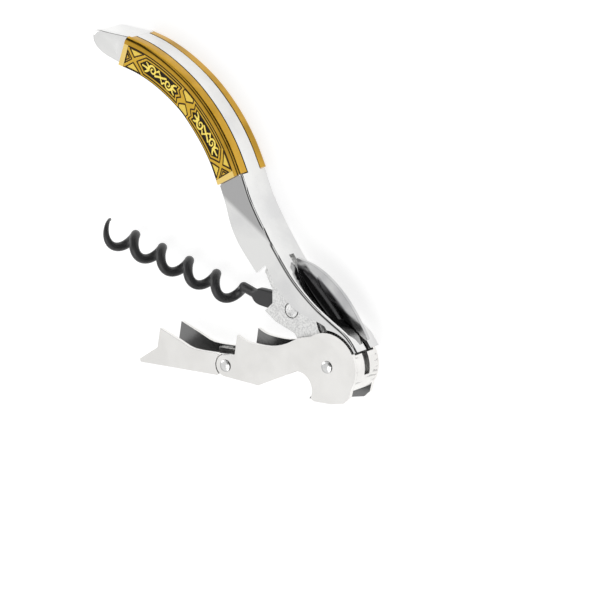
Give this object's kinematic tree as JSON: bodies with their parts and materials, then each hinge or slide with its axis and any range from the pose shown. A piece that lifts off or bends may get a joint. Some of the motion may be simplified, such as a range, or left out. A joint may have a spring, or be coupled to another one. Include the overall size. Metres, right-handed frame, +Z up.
{
  "type": "lever corkscrew",
  "caption": "Folding corkscrew with a two-stage lever, a coated worm, a foil knife and a curved steel handle with inlaid gold-coloured grips, lying open on its side.",
  "frame": {"origin": "middle of the underside of the whole object, lying on its side with everything swung out", "axes": "+X along the handle from the lever pivot to the tip, +Y from the back of the handle towards the worm and levers, +Z up across the thickness; every hinge axis is parallel to Z"},
  "size_m": [0.121, 0.0668, 0.0128],
  "materials": {
    "polished_steel": "polished",
    "lever_steel": "satin",
    "blasted_steel": "matte, blasted",
    "gold_bezel": "polished plating",
    "gold_ornament": "polished relief with dark enamel",
    "black_coating": "matte low-friction coating on steel",
    "blade_steel": "polished",
    "rivet_steel": "polished",
    "pin_steel": "plain"
  },
  "bodies": {
    "body": {"body_shell": "polished_steel", "inner_frame": "blasted_steel", "grip_bezel_left": "gold_bezel", "grip_bezel_right": "gold_bezel", "ornament_plate_left": "gold_ornament", "ornament_plate_right": "gold_ornament", "grip_pin_left_1": "pin_steel", "grip_pin_left_2": "pin_steel", "grip_pin_right_1": "pin_steel", "grip_pin_right_2": "pin_steel", "worm_rivet": "blasted_steel", "worm_spacer_left": "pin_steel", "worm_spacer_right": "pin_steel", "pivot_spacer_left": "pin_steel", "pivot_spacer_right": "pin_steel", "back_spring": "pin_steel", "spring_pin": "pin_steel", "lever_pivot_rivet": "rivet_steel"},
    "first_lever": {"lever_stage_1": "lever_steel", "stage_hinge_rivet_left": "rivet_steel", "stage_hinge_rivet_right": "rivet_steel"},
    "second_lever": {"lever_stage_2": "lever_steel"},
    "worm": {"worm": "black_coating"},
    "blade": {"blade": "blade_steel"}
  },
  "joints": [
    {"name": "lever_pivot", "type": "hinge", "parent": "body", "child": "first_lever", "pos_m": [-0.05028, -0.01577, 0.0064], "axis": [0, 0, 1], "range_deg": [-41, 55]},
    {"name": "stage_hinge", "type": "hinge", "parent": "first_lever", "child": "second_lever", "pos_m": [-0.03088, 0.01093, 0.0064], "axis": [0, 0, 1], "range_deg": [-12, 60]},
    {"name": "worm_pivot", "type": "hinge", "parent": "body", "child": "worm", "pos_m": [-0.03218, -0.01597, 0.0064], "axis": [0, 0, 1], "range_deg": [-44, 59]},
    {"name": "blade_pivot", "type": "hinge", "parent": "body", "child": "blade", "pos_m": [-0.05028, -0.01577, 0.0064], "axis": [0, 0, -1], "range_deg": [0, 50]}
  ],
  "couplings": [
    {"joint": "worm_pivot", "follows": "lever_pivot", "ratio": 1.0634}
  ]
}
